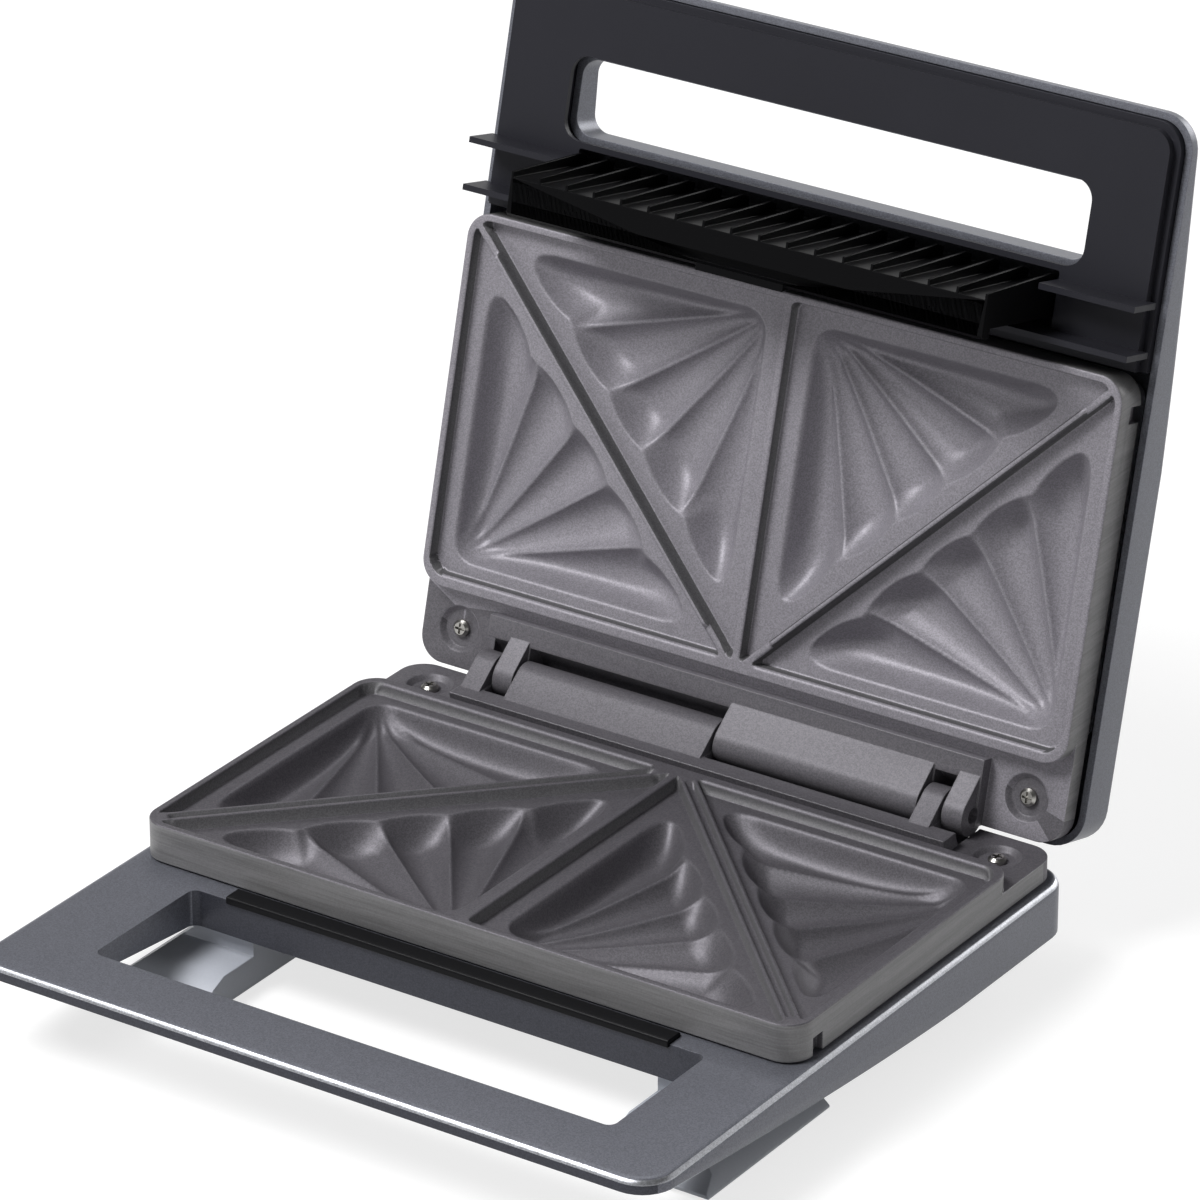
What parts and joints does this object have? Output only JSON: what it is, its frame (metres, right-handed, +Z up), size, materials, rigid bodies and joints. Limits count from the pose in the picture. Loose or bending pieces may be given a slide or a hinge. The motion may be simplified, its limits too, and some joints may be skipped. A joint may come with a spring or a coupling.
{
  "type": "sandwich toaster",
  "caption": "Hinged countertop sandwich toaster standing open, with fluted triangular cooking shells, handle openings and a ribbed latch.",
  "frame": {"origin": "centre of the bounding box with the lid open, at the underside of the foot pads", "axes": "+X along the hinge to the toaster's right seen from the front, +Y from the handle toward the hinge, +Z up"},
  "size_m": [0.257, 0.3104, 0.2693],
  "materials": {
    "silver_paint": "speckled metallic satin",
    "black_plastic": "matte",
    "lower_coating": "non-stick satin",
    "upper_coating": "non-stick satin",
    "element_tube": "heat-dulled",
    "sheet_aluminium": "bright",
    "grey_plastic": "matte",
    "pad_rubber": "matte",
    "pin_steel": "turned",
    "zinc_steel": "zinc plated",
    "gland_rubber": "matte",
    "pale_plastic": "matte",
    "liner_plastic": "fine satin",
    "ceramic_body": "matte",
    "lamp_plastic": "gloss",
    "spring_steel": "drawn wire",
    "latch_plastic": "satin"
  },
  "bodies": {
    "base": {"base_casing": "silver_paint", "base_cover": "black_plastic", "lower_plate": "lower_coating", "lower_element": "element_tube", "lower_shield": "sheet_aluminium", "latch_keeper": "black_plastic", "leg_left": "grey_plastic", "leg_right": "grey_plastic", "rear_feet": "grey_plastic", "foot_pads": "pad_rubber", "hinge_pin": "pin_steel", "lower_screws": "zinc_steel", "cover_screws": "zinc_steel", "cord_gland": "gland_rubber", "terminal_block": "pale_plastic"},
    "lid": {"lid_casing": "silver_paint", "lid_liner": "liner_plastic", "upper_plate": "upper_coating", "upper_element": "element_tube", "upper_shield": "sheet_aluminium", "upper_screws": "zinc_steel", "thermostat": "ceramic_body", "thermal_fuse": "pale_plastic", "lamp_lenses": "lamp_plastic", "latch_springs": "spring_steel"},
    "latch": {"latch": "latch_plastic"}
  },
  "joints": [
    {"name": "lid_hinge", "type": "hinge", "parent": "base", "child": "lid", "pos_m": [0, 0.0788, 0.046], "axis": [1, 0, 0], "range_deg": [0, 104.3]},
    {"name": "latch_pivot", "type": "hinge", "parent": "lid", "child": "latch", "pos_m": [0, 0.13458, 0.20412], "axis": [1, 0, 0], "range_deg": [0, 4.5], "stiffness_Nm_per_rad": 1, "springref_deg": -5.73}
  ]
}
